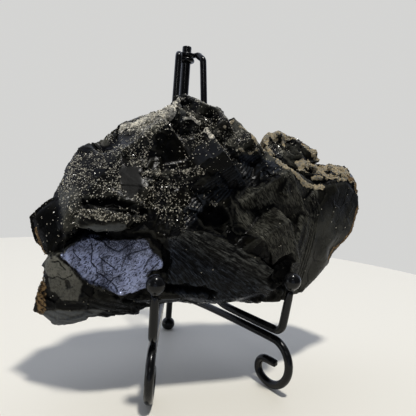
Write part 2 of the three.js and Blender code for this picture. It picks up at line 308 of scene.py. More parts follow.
# The camera: its place in millimetres, and its heading, pitch and roll in degrees.
CAMERA_AT = (-59.84, -208.09, 83.95)
CAMERA_TURNS = (20.43, -4.86, 4.30)
LENS = 36.09


# ---- settings


def length_setting(name, description, size):
    """A length among the settings, given in millimetres."""
    return FloatProperty(name=name, description=description, default=size * MM, unit="LENGTH", precision=5)


def colour_setting(name, description, default):
    settings = {"min": 0, "max": 1, "subtype": "COLOR", "size": 3}
    return FloatVectorProperty(name=name, description=description, default=default, **settings)


def power_setting(name, description, default):
    return FloatProperty(name=name, description=description, default=default, min=0, unit="POWER")


class StoneSizes(bpy.types.PropertyGroup):
    cell: length_setting("Cell", "Edge of the stone's mesh cells", 0.5)
    chip: length_setting("Chip", "Width of one broken face of the stone", 7)
    grain: length_setting("Grain", "Edge of a sparkling grain", 0.34)
    lump: length_setting("Lump", "Width of a lump of crust", 0.9)
    faces: IntProperty(name="Faces", description="Triangles kept, less the facets' own", default=165000)
    grains: IntProperty(name="Grains", description="Number of sparkling grains", default=16000)
    lumps: IntProperty(name="Lumps", description="Number of lumps of pale crust", default=5000)
    flakes: IntProperty(name="Flakes", description="Number of lumps of rusty crust", default=900)
    seed: IntProperty(name="Seed", description="Number that every random choice starts from", default=7)


class StoneColours(bpy.types.PropertyGroup):
    black: colour_setting("Black", "Deep fluorite", (0.0013, 0.0014, 0.0018))
    olive: colour_setting("Olive", "Fluorite that lets some light through", (0.0042, 0.0039, 0.0028))
    steel: colour_setting("Steel", "Striped and fibrous faces", (0.055, 0.066, 0.085))
    ash: colour_setting("Ash", "Frosted cleavage faces", (0.1, 0.098, 0.079))
    facet: colour_setting("Facet", "The ashen facet", (0.165, 0.16, 0.134))
    # The mirror facet's lavender and violet are partly painted reflection of the cool light in front.
    lavender_reflection: colour_setting("Lavender reflection", "The mirror facet", (0.38, 0.42, 0.59))
    violet_reflection: colour_setting("Violet reflection", "Darker parts of the mirror facet", (0.22, 0.24, 0.345))
    cream: colour_setting("Cream", "Pale crust of the crest", (0.9, 0.85, 0.72))
    tan: colour_setting("Tan", "Crust of the rims at the right", (0.44, 0.36, 0.225))
    ochre: colour_setting("Ochre", "Iron-stained crust", (0.26, 0.17, 0.08))


class StandLook(bpy.types.PropertyGroup):
    coat: colour_setting("Coat", "Colour of the coated wire", (0.004, 0.004, 0.0045))
    gloss: FloatProperty(
        name="Gloss", description="Roughness of the coated wire", default=0.2, min=0, max=1, subtype="FACTOR"
    )


class StageLook(bpy.types.PropertyGroup):
    floor: colour_setting("Floor", "Colour of the floor", (0.757, 0.728, 0.645))
    wall: colour_setting("Wall", "Colour that the camera sees behind", (0.66, 0.66, 0.65))
    glow: colour_setting("Glow", "Light that comes from the surroundings behind", (0.70, 0.755, 0.90))
    room: colour_setting("Room", "Light that comes from the dim room in front", (0.07, 0.075, 0.085))
    key: power_setting("Key", "Power of the light overhead", 66)
    front: power_setting("Front", "Power of the small light in front", 0.7)
    side: power_setting("Side", "Power of the dim light at the left", 1.0)
    sky: power_setting("Sky", "Power of the wide cool light in front", 1.0)


# ---- shader maths


class Signal:
    """A socket of a material. Python's operators on it add Math nodes."""

    def __init__(self, finish, socket):
        self.finish = finish
        self.socket = socket

    def maths(self, operation, *values):
        return self.finish.node("ShaderNodeMath", {"operation": operation}, dict(enumerate(values)))

    def __add__(self, other):
        return self.maths("ADD", self, other)

    def __sub__(self, other):
        return self.maths("SUBTRACT", self, other)

    def __rsub__(self, other):
        return self.maths("SUBTRACT", other, self)

    def __mul__(self, other):
        return self.maths("MULTIPLY", self, other)

    def __truediv__(self, other):
        return self.maths("DIVIDE", self, other)

    def __rtruediv__(self, other):
        return self.maths("DIVIDE", other, self)

    def __pow__(self, other):
        return self.maths("POWER", self, other)

    __radd__ = __add__
    __rmul__ = __mul__

    def least(self, other):
        return self.maths("MINIMUM", self, other)

    def most(self, other):
        return self.maths("MAXIMUM", self, other)

    def between(self, low, high, start=0.0, end=1.0):
        """Start below low, end above high, and a smooth change between them."""
        settings = {"interpolation_type": "SMOOTHSTEP"}
        return self.finish.node("ShaderNodeMapRange", settings, {0: self, 1: low, 2: high, 3: start, 4: end})


class Finish:
    """The nodes of a material, or of the world, built up one by one."""

    def __init__(self, owner):
        owner.use_nodes = True
        self.owner = owner
        self.tree = owner.node_tree

    def node(self, kind, settings=None, sockets=None, out=0):
        """Adds a node, sets its settings and then its sockets, and returns one of its outputs."""
        node = self.tree.nodes.new(kind)
        for key, value in (settings or {}).items():
            setattr(node, key, value)
        self.fill(node, sockets or {})
        return Signal(self, node.outputs[out])

    def fill(self, node, sockets):
        """Links a node's sockets, or sets their values."""
        for key, value in sockets.items():
            if isinstance(value, Signal):
                self.tree.links.new(value.socket, node.inputs[key])
            else:
                node.inputs[key].default_value = value

    def shade(self, sockets):
        """Fills the sockets of a material's surface, and returns the material."""
        self.fill(self.tree.nodes["Principled BSDF"], sockets)
        return self.owner

    def place(self, scale=(1, 1, 1), turn=(0, 0, 0)):
        """Object coordinates in millimetres, turned and then stretched."""
        own = self.node("ShaderNodeTexCoord", out="Object")
        turned = self.node("ShaderNodeMapping", None, {"Vector": own, "Rotation": turn})
        return self.node("ShaderNodeMapping", None, {"Vector": turned, "Scale": [s / MM for s in scale]})

    def along(self, axis, place):
        """The coordinate along one axis: 0 for X, 1 for Y and 2 for Z."""
        return self.node("ShaderNodeSeparateXYZ", None, {0: place}, out=axis)

    def mask(self, name):
        return self.node("ShaderNodeAttribute", {"attribute_name": name}, out="Fac")

    def noise(self, place, size, detail=3.0, rough=0.5, warp=0.0):
        sockets = {"Vector": place, "Scale": 1 / size, "Detail": detail}
        sockets.update({"Roughness": rough, "Distortion": warp})
        return self.node("ShaderNodeTexNoise", None, sockets)

    def cells(self, place, size, feature="F1", out="Distance", random=1.0):
        sockets = {"Vector": place, "Scale": 1 / size, "Randomness": random}
        return self.node("ShaderNodeTexVoronoi", {"feature": feature}, sockets, out=out)

    def spread(self, place, hub):
        """Coordinates in which lines spreading from a hub (x, y, z) over the front run one way."""
        x = self.along(0, place) - hub[0]
        z = self.along(2, place) - hub[2]
        turn = self.node("ShaderNodeMath", {"operation": "ARCTAN2"}, {0: z, 1: x})
        return self.node("ShaderNodeCombineXYZ", None, {0: turn * 52, 1: (x * x + z * z) ** 0.5 / 7})

    def shift(self, place, by, amount):
        """Moves the coordinates by a vector signal times an amount."""
        scaled = self.node("ShaderNodeVectorMath", {"operation": "SCALE"}, {0: by, "Scale": amount})
        return self.node("ShaderNodeVectorMath", {"operation": "ADD"}, {0: place, 1: scaled})

    def tint(self, amount, first, second):
        """A colour between first and second."""
        sockets = {0: amount}
        for key, colour in ((6, first), (7, second)):
            sockets[key] = colour if isinstance(colour, Signal) else (*colour, 1.0)
        return self.node("ShaderNodeMix", {"data_type": "RGBA"}, sockets, out=2)

    def bump(self, height, depth, under=None):
        """A normal raised by height, where 1 stands depth millimetres high."""
        sockets = {"Height": height, "Distance": depth * MM, "Strength": 1.0}
        if under:
            sockets["Normal"] = under
        return self.node("ShaderNodeBump", None, sockets)


# ---- mesh helpers


def choose(piece):
    """Makes a piece the only selected object and the active one."""
    bpy.ops.object.select_all(action="DESELECT")
    piece.select_set(True)
    bpy.context.view_layer.objects.active = piece


def modify(piece, kind, **settings):
    """Adds a modifier, sets it and applies it."""
    choose(piece)
    bpy.ops.object.modifier_add(type=kind)
    modifier = piece.modifiers[-1]
    for key, value in settings.items():
        setattr(modifier, key, value)
    bpy.ops.object.modifier_apply(modifier=modifier.name)


def edit(piece, *steps, where=None):
    """Runs edit-mode steps on a piece's faces, or only on those that pass a test."""
    choose(piece)
    bpy.ops.object.mode_set(mode="EDIT")
    bpy.ops.mesh.select_mode(type="FACE")
    bpy.ops.mesh.select_all(action="SELECT" if where is None else "DESELECT")
    if where:
        bpy.ops.object.mode_set(mode="OBJECT")
        for face in piece.data.polygons:
            face.select = where(face)
        bpy.ops.object.mode_set(mode="EDIT")
    for operator, settings in steps:
        operator(**settings)
    bpy.ops.object.mode_set(mode="OBJECT")


def cad_copy(node, name):
    """A copy of a CAD node's mesh, with its loose triangles merged into one surface."""
    piece = bpy.data.objects.new(name, NODES[node].data.copy())
    bpy.context.scene.collection.objects.link(piece)
    piece.data.materials.clear()
    edit(piece, (bpy.ops.mesh.remove_doubles, {"threshold": 0.001 * MM}))
    return piece


def settle(piece, body, slot, material, *nodes):
    """Gives a finished piece its material, hangs it on the body it rides on, and hides the CAD nodes it
    stands for.
    """
    piece.data.materials.clear()
    piece.data.materials.append(material)
    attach(piece, body)
    if nodes:
        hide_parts(*nodes)


def apply_place(piece):
    """Moves a piece's place, turn and size into its mesh."""
    choose(piece)
    bpy.ops.object.transform_apply(location=True, rotation=True, scale=True)


# ---- noise on points, in millimetres


def fade(values, low, high):
    """0 below low, 1 above high, and a smooth change between them."""
    t = np.clip((values - low) / (high - low), 0, 1)
    return t * t * (3 - 2 * t)


LATTICE = np.random.default_rng(1).random(64**3)
CORNERS = list(itertools.product((0, 1), repeat=3))


def lottery(cells, seed):
    """A number from 0 to 1 for each whole-number cell."""
    x, y, z = ((cells + seed * np.array([7, 17, 31])) & 63).T
    return LATTICE[(x * 64 + y) * 64 + z]


def waves(points, size, seed):
    """Smooth noise from -1 to 1, with lumps about size across."""
    scaled = points / size
    cells = np.floor(scaled).astype(np.int64)
    values = [lottery(cells + np.array(corner), seed) for corner in CORNERS]
    for t in fade(scaled - cells, 0, 1).T:
        half = len(values) // 2
        values = [low + t * (high - low) for low, high in zip(values[:half], values[half:])]
    return 2 * values[0] - 1


def rough(points, size, seed, octaves=4, fall=0.5):
    """Noise whose finer lumps are added at falling strength."""
    strengths = [fall**k for k in range(octaves)]
    layers = [s * waves(points, size / 2**k, seed + k) for k, s in enumerate(strengths)]
    return sum(layers) / sum(strengths)


def chips(points, size, seed, slope=0.25):
    """Heights of flat broken faces: each point follows the tilted plane of its nearest centre."""
    scaled = points / size
    cells = np.floor(scaled).astype(np.int64)
    nearest = np.full(len(points), np.inf)
    height = np.zeros(len(points))
    for step in itertools.product((-1, 0, 1), repeat=3):
        near = cells + np.array(step)
        centre = near + np.stack([lottery(near, seed + k) for k in range(3)], axis=1)
        away = scaled - centre
        reach = (away**2).sum(axis=1)
        tilt = np.stack([lottery(near, seed + k) for k in (3, 4, 5)], axis=1) - 0.5
        own = 2 * slope * (away * tilt).sum(axis=1) + slope * (lottery(near, seed + 6) - 0.5)
        closer = reach < nearest
        nearest = np.where(closer, reach, nearest)
        height = np.where(closer, own, height)
    return height * size


def saw(values):
    """A sawtooth from 0 to 1 with a short steep side."""
    part = values - np.floor(values)
    return np.where(part < 0.82, part / 0.82, (1 - part) / 0.18)


# ---- areas and lines on the stone


def inside(points, outline):
    """Millimetres inside an (x, z) outline, negative outside it."""
    flat = points[:, [0, 2]]
    within = np.zeros(len(flat), bool)
    corners = np.array(outline, float)
    for start, end in zip(corners, np.roll(corners, -1, axis=0)):
        side = end - start
        crosses = (start[1] > flat[:, 1]) != (end[1] > flat[:, 1])
        reach = start[0] + (flat[:, 1] - start[1]) * side[0] / (side[1] if side[1] else 1e-9)
        within ^= crosses & (flat[:, 0] < reach)
    away = off_line(points, [*outline, outline[0]])
    return np.where(within, away, -away)


def off_line(points, line):
    """Distance from each point to a line of (x, y, z) points, or of (x, z) points at any depth."""
    line = np.array(line, float)
    spots = points if line.shape[1] == 3 else points[:, [0, 2]]
    away = np.full(len(spots), np.inf)
    for start, end in zip(line[:-1], line[1:]):
        side = end - start
        gap = spots - start
        share = np.clip(gap @ side / (side @ side), 0, 1)
        gap = gap - share[:, None] * side
        away = np.minimum(away, (gap**2).sum(axis=1))
    return np.sqrt(away)


def read_surface(piece):
    """A mesh's points in millimetres and its normals."""
    mesh = piece.data
    points = np.empty(3 * len(mesh.vertices))
    normals = np.empty(3 * len(mesh.vertices))
    mesh.vertices.foreach_get("co", points)
    mesh.vertices.foreach_get("normal", normals)
    return points.reshape(-1, 3) / MM, normals.reshape(-1, 3)


def write_surface(piece, points):
    """Moves a mesh's points to places in millimetres."""
    piece.data.vertices.foreach_set("co", (points * MM).ravel())
    piece.data.update()


def levelled(piece, points, rounds, share=1.0):
    """The points after each has moved towards the middle of its neighbours so many times."""
    ends = np.empty(2 * len(piece.data.edges), np.int32)
    piece.data.edges.foreach_get("vertices", ends)
    one, other = ends.reshape(-1, 2).T
    count = len(points)
    shared = np.bincount(one, minlength=count) + np.bincount(other, minlength=count)
    for _ in range(rounds):
        moved = [
            np.bincount(one, axis[other], count) + np.bincount(other, axis[one], count) for axis in points.T
        ]
        points = points + share * (np.stack(moved, axis=1) / shared[:, None] - points)
    return points


def relief(piece, points, normals, rounds=5):
    """How far each point stands out of its surroundings, in millimetres; negative in a hollow."""
    return ((points - levelled(piece, points, rounds)) * normals).sum(axis=1)


class Survey:
    """The points of the stone's surface, and what lies where on it."""

    def __init__(self, piece):
        self.points, self.normals = read_surface(piece)
        self.front = fade(-self.normals[:, 1], 0.0, 0.3)
        self.back = fade(self.normals[:, 1], 0.1, 0.5)
        self.up = fade(self.normals[:, 2], 0.25, 0.8)
        self.wander = rough(self.points, 2.6, 71, 3)
        self.areas = {name: inside(self.points, outline) for name, outline in AREAS.items()}

    def area(self, name, soft=1.5, ragged=0.0):
        """How far each point belongs to a named area of the front, with a soft or ragged border."""
        return self.front * fade(self.areas[name] + ragged * self.wander, -soft / 2, soft / 2)

    def near(self, line, width, ragged=0.5):
        """1 on a line, falling to 0 about half its width away, with a ragged border."""
        away = off_line(self.points, line) + ragged * width * self.wander
        return 1 - fade(away, 0.2 * width, 0.55 * width)

    def patch(self, spot, wide, high):
        """1 in the middle of an oval patch, falling to 0 round its ragged rim."""
        x, _, z = self.points.T
        away = np.hypot((x - spot[0]) / wide, (z - spot[1]) / high)
        return self.front * (1 - fade(away + 0.5 * self.wander, 0.6, 1.1))

    def splinter_lines(self):
        """Distance across the splintered cleavage, whose edges run down to the right."""
        return self.points @ np.array([0.76, 0.1, 0.65]) + 0.8 * rough(self.points, 11, 61, 2)

    def band_lines(self):
        """Distance across the band's stripes, which run down to the left."""
        return self.points @ np.array([0.66, 0.1, -0.75]) + 0.5 * rough(self.points, 6, 62, 2)

    def fan_fibres(self):
        """Coordinates in which the fan's fibres, spreading from its upper left, all run one way."""
        hub = np.array(FAN_HUB)
        turn = np.degrees(np.arctan2(self.points[:, 2] - hub[2], self.points[:, 0] - hub[0]))
        reach = np.linalg.norm(self.points - hub, axis=1)
        spread = turn / 1.1 + 0.9 * rough(self.points, 9, 63, 2)
        return np.stack([spread, reach / 9, np.zeros(len(reach))], axis=1)

    def drusy_coat(self, every, rich):
        """Where the sparkling grains lie."""
        coat = np.maximum.reduce([
            every["dome"] * (0.48 + 1.0 * rich), 0.28 * every["glitter"], 0.06 * every["starry"],
            0.2 * every["crystals"] * (1 - 0.75 * every["starry"]), 0.04 * every["knob"], 0.3 * every["haze"],
            2.5 * self.near(SILL, 4.2), 3.0 * self.near(GLITTER_LINE, 2.4), 6.0 * self.near(GLINT, 1.6, 0.2),
            0.5 * self.back * fade(rough(self.points, 16, 5, 4), 0.05, 0.3),
            0.4 * self.up * fade(self.points[:, 2], 92, 97),
        ])
        return coat * ((1 - self.area("smooth_patch", 1.0, 0.8)) * (1 - 0.8 * every["band"]))

    def crusts(self):
        """Where the pale crust and the rusty one lie."""
        patches = rough(self.points, 16, 5, 4)
        pale = [thick * self.near(line, width) for line, width, thick in CREAM_LINES]
        pale = np.maximum.reduce([*pale, 0.7 * self.back * self.up * fade(patches, -0.05, 0.25)])
        rusty = [thick * self.near(line, width, *ragged) for line, width, thick, *ragged in RUST_LINES]
        rusty = np.maximum.reduce([*rusty, 0.55 * self.back * fade(-patches, 0.18, 0.5)])
        return pale * (1 - 0.8 * rusty), rusty

    def frosting(self, every, rich, shelf):
        """How far each point is frosted grey, by its kind of cleavage, with painted light at the toe and
        along the knob's rim.
        """
        fibres = self.fan_fibres()
        strand = fade(waves(fibres, 1.0, 64) + 0.6 * waves(2.4 * fibres, 1.0, 65), -0.05, 0.6)
        stripe = saw(self.band_lines() / 1.3)
        grain = fade(rough(self.points, 5, 58, 4), -0.15, 0.2)
        mottle = fade(rough(self.points, 7, 59, 4), -0.3, 0.3)
        return np.maximum.reduce([
            every["fan"] * ((0.28 + 0.45 * strand) * shelf + 0.2 * (1 - shelf)),
            every["band"] * 0.25 * stripe * (0.4 + 0.6 * grain),
            every["splinter"] * (0.14 + 0.34 * grain),
            every["satin"] * (0.2 + 0.22 * mottle) * (1 - 0.82 * fade(self.points[:, 2], 64, 76)),
            every["crystals"] * 0.6 * (1 - every["starry"]) * mottle,
            every["dome"] * (0.03 + 0.3 * rich) * mottle,
            # The toe's grey frost is painted light, bounced up from the floor.
            every["toe"] * (0.9 + 0.3 * mottle),
            every["lip"] * (0.5 + 0.4 * mottle),
            every["haze"] * (0.1 + 0.42 * mottle),
            every["belly"] * 0.06 * mottle,
            every["smooth_patch"] * 0.08,
            every["knob"] * 0.02,
            # A painted highlight along the knob's lower rim.
            0.6 * self.near(KNOB_RIM_HIGHLIGHT, 0.9, 0.1),
            *(0.45 * self.patch(*one) for one in PATCHES),
        ])

    def stone_masks(self, stand=0.0):
        """What covers each point, and the light and shade painted on it, as one number from 0 to 1 for each
        kind.

        Where a point stands out of its surroundings it is frosted more, and a hollow is darkened with painted
        shade.
        """
        points = self.points
        every = {name: self.area(name, 1.2, 1.0) for name in AREAS}
        mirror = self.area("mirror", 0.5, 0.8)
        ash = self.area("ash", 0.5, 1.1)
        flat = np.maximum(mirror, ash)
        high = fade(stand, 0.02, 0.12)
        low = fade(-stand, 0.02, 0.12)
        # Rich is where the druse lies thickest, and shelf is above the ledge that crosses the fan.
        rich = fade(points @ np.array([0.5, 0, 0.85]), 60, 78)
        shelf = fade(points @ np.array([0.42, 0, 0.91]) - 46.0, -4, 4)

        druse = self.drusy_coat(every, rich)
        crust, rust = self.crusts()
        frost = self.frosting(every, rich, shelf)
        glassy = 0.8 * np.maximum(every["knob"], every["starry"])
        # Raised points get more frost, and hollows lose it as painted shade.
        frost = np.clip(frost + 0.14 * high * (1 - flat) * (1 - glassy) - 0.3 * low, 0, 1)
        cool = np.maximum.reduce([
            every["band"], every["fan"] * (1 - 0.7 * shelf), 0.6 * every["belly"], every["toe"],
            0.5 * every["lip"],
        ])
        # Painted shade in the cavity, cleft, sump, carved lines and hollows; the smooth patch is darkened
        # too.
        ink = np.maximum.reduce([
            every["cavity"], every["cleft"], 0.9 * every["sump_shade"], 0.7 * every["smooth_patch"],
            self.near(GROOVE, 3.4), self.near(LEDGE, 4.4), self.near(NOTCH, 4), 0.9 * self.near(BROW, 2.6),
            0.5 * low * (1 - flat),
        ])
        ink *= self.front * (1 - self.near(GLITTER_LINE, 2.4)) * (1 - self.near(GLINT, 1.6, 0.2))
        wander = points + 0.7 * np.stack([rough(points, 1.6, 90 + k, 3) for k in range(3)], axis=1)
        crack = np.min([off_line(wander, line) for line in CRACKS], axis=0)
        crack = flat * (1 - fade(crack + 0.12 * rough(points, 0.9, 94, 2), 0.08, 0.26))
        ash *= 1 - 0.8 * fade(rough(points, 3.0, 95, 4), 0.18, 0.4)
        ash *= 0.66 + 0.34 * fade(points[:, 2], 42.5, 44.5)
        # The toe is greyed further, as painted light from the floor.
        ash = np.maximum(ash, 0.36 * every["toe"])
        for mask in (druse, crust, frost):
            mask *= 1 - flat
        return dict(
            frost=frost, cool=cool, druse=druse, crust=crust, rust=rust, mirror=mirror, ash=ash, ink=ink,
            crack=crack, split=every["splinter"], fibre=every["fan"],
        )


# ---- the stone


def turned(turns):
    """A rotation about Z, then Y, then X, in degrees."""
    x, y, z = (Matrix.Rotation(math.radians(t), 4, axis) for t, axis in zip(turns, "XYZ"))
    return x @ y @ z


def add_block(place, size):
    """A block of size (x, y, z) millimetres, set in place by a matrix in millimetres."""
    bpy.ops.mesh.primitive_cube_add(size=1)
    block = bpy.context.object
    to_metres = Matrix.Scale(MM, 4)
    block.matrix_world = to_metres @ place @ Matrix.Diagonal((*size, 1))
    return block


def growth_steps(chance):
    """The standing crystals' low terraces, lined up with their edges."""
    blocks = []
    for centre, edge, turns in CRYSTALS[:TERRACED]:
        place = Matrix.Translation(centre) @ turned(turns)
        for axis, way in itertools.product(range(3), (-1, 1)):
            for _ in range(TERRACES):
                size = edge * chance.uniform(0.18, 0.62, 3)
                at = chance.uniform(-0.5, 0.5, 3) * (edge - size)
                size[axis] = TERRACE_THICK
                at[axis] = way * ((edge - TERRACE_THICK) / 2 + chance.uniform(0.3, 1.1))
                blocks.append(add_block(place @ Matrix.Translation(at), size))
    return blocks


def small_crystals(chance, line, count, edge, stray):
    """Cubes half sunk in the stone along a line."""
    blocks = []
    for _ in range(count):
        k = chance.integers(len(line) - 1)
        start, end = (Vector(spot) for spot in line[k : k + 2])
        at = start.lerp(end, chance.uniform()) + Vector(chance.normal(0, stray, 3)) + Vector((0, 0.8, -1.2))
        place = Matrix.Translation(at) @ turned(chance.uniform(0, 90, 3))
        blocks.append(add_block(place, chance.uniform(0.6, 1.3) * edge * chance.uniform(0.7, 1.0, 3)))
    return blocks


def soften(piece):
    """Takes the grain of the remeshing off, and rounds the parts that are worn or glassy."""
    survey = Survey(piece)
    worn = np.maximum.reduce([
        survey.area("knob", 3), survey.area("lip", 3), survey.area("haze", 3), 0.7 * survey.area("dome", 3),
        survey.near(CREST, 7, 0),
    ])
    light = levelled(piece, survey.points, 1)
    heavy = levelled(piece, light, 22)
    write_surface(piece, light + worn[:, None] * (heavy - light))


def sculpt(piece, chip):
    """Breaks, carves and smooths the stone's surface."""
    survey = Survey(piece)
    points, normals, front = survey.points, survey.normals, survey.front
    masks = survey.stone_masks()
    every = {name: survey.area(name, 2.0) for name in AREAS}
    calm = np.maximum.reduce([
        masks["mirror"], masks["ash"], 0.85 * every["satin"], 0.95 * every["knob"], 0.8 * every["crystals"],
        0.85 * every["dome"], 0.8 * every["fan"], 0.85 * every["splinter"], every["lip"], every["haze"],
    ])
    broken = 1 - calm

    lift = broken * 0.5 * chips(points, chip, 11) + broken * 0.2 * chips(points, chip * 0.4, 23)
    lift += (0.35 + 0.65 * broken) * 0.5 * rough(points, 12, 31, 3)
    lift += broken * 0.10 * rough(points, 1.6, 41, 2)

    across = survey.splinter_lines()
    cuts = fade(rough(points, 7, 44, 3), -0.2, 0.2)
    lift += every["splinter"] * (0.1 * saw(across / 5.2) + 0.16 * cuts * saw(across / 1.9) - 0.1)
    lift += every["band"] * (0.35 * saw(survey.band_lines() / 1.3) - 0.15)
    fibres = survey.fan_fibres()
    lift += every["fan"] * (0.2 * waves(fibres, 1.0, 64) + 0.15 * waves(2.4 * fibres, 1.0, 65))
    steps = np.floor((off_line(points, EDGE_DROP) + 1.0 * rough(points, 5, 45, 3)) / 1.3)
    lift += every["satin"] * (0.6 - 0.25 * np.clip(3 - steps, 0, 3))
    grooves = saw((points[:, 2] + 0.25 * points[:, 0] + 1.2 * rough(points, 14, 46, 2)) / 2.6)
    lift += np.maximum(every["belly"], every["toe"]) * (0.35 * grooves - 0.1)

    lift += masks["druse"] * 0.14 * rough(points, 1.7, 66, 2)
    lift += masks["crust"] * (0.35 + 0.5 * rough(points, 2.4, 67, 3))
    lift += masks["rust"] * (0.1 + 0.3 * rough(points, 2.2, 68, 3))
    lift -= 0.6 * every["knob"]

    lift -= 5.0 * fade(survey.areas["cavity"] + 3.0 * survey.wander, -0.5, 3.0) * front
    lift -= 3.0 * fade(survey.areas["cleft"] + 1.0 * survey.wander, -0.5, 3.0) * front
    for line, height, width, ragged in CARVED_LINES:
        lift += height * front * survey.near(line, width, ragged)
    points = points + lift[:, None] * normals

    # The back keeps clear of the easel's back rests.
    back = fade(normals[:, 1], -0.1, 0.4) * (1 - fade(np.abs(points[:, 0]), 16, 24))
    points[:, 1] -= BACK_GAP * back

    # The outline is drawn out and in.
    for line, reach, push in PUSHES:
        points = points + (1 - fade(off_line(points, line), 0, reach))[:, None] * np.array(push)

    # The mirror facet is one flat face.
    facing = np.array(MIRROR_FACES)
    height = (points - np.array(MIRROR_AT)) @ (facing / np.linalg.norm(facing))
    flat = masks["mirror"] * (1 - fade(np.abs(height), 2.5, 4.5))
    ripple = 0.05 * rough(points, 6, 69, 3)
    points -= (flat * (height - ripple))[:, None] * facing
    write_surface(piece, points)


def thin_out(piece, faces):
    """Removes faces, mostly from the back, until about so many triangles are left."""
    survey = Survey(piece)
    facets = np.maximum(survey.area("mirror", 2), survey.area("ash", 2))
    spare = (1 - 0.85 * survey.front) * (1 - facets)
    group = piece.vertex_groups.new(name="spare")
    for level in range(1, 11):
        chosen = np.nonzero(np.round(spare * 10) == level)[0]
        group.add(chosen.tolist(), level / 10, "REPLACE")
    modify(piece, "TRIANGULATE")
    modify(piece, "DECIMATE", ratio=min(1.0, faces / len(piece.data.polygons)), vertex_group="spare")
    piece.vertex_groups.clear()


def refine_facets(piece):
    """Divides the faces of the mirror and ashen facets, and sinks their cracks."""
    survey = Survey(piece)
    chosen = np.maximum(survey.area("mirror", 2), survey.area("ash", 2)) > 0.3
    choose(piece)
    bpy.ops.object.mode_set(mode="EDIT")
    bpy.ops.mesh.select_mode(type="VERT")
    bpy.ops.mesh.select_all(action="DESELECT")
    bpy.ops.object.mode_set(mode="OBJECT")
    piece.data.vertices.foreach_set("select", chosen)
    bpy.ops.object.mode_set(mode="EDIT")
    bpy.ops.mesh.subdivide(number_cuts=1)
    bpy.ops.mesh.select_all(action="SELECT")
    bpy.ops.mesh.quads_convert_to_tris()
    bpy.ops.object.mode_set(mode="OBJECT")
    survey = Survey(piece)
    crack = survey.stone_masks()["crack"]
    write_surface(piece, survey.points - 0.35 * crack[:, None] * survey.normals)


def paint(piece):
    """Stores what covers the stone, and the light and shade painted on it, as attributes that its material
    reads.
    """
    survey = Survey(piece)
    masks = survey.stone_masks(relief(piece, survey.points, survey.normals))
    for name, values in masks.items():
        layer = piece.data.attributes.new(name, "FLOAT", "POINT")
        layer.data.foreach_set("value", np.clip(values, 0, 1).astype(np.float32))


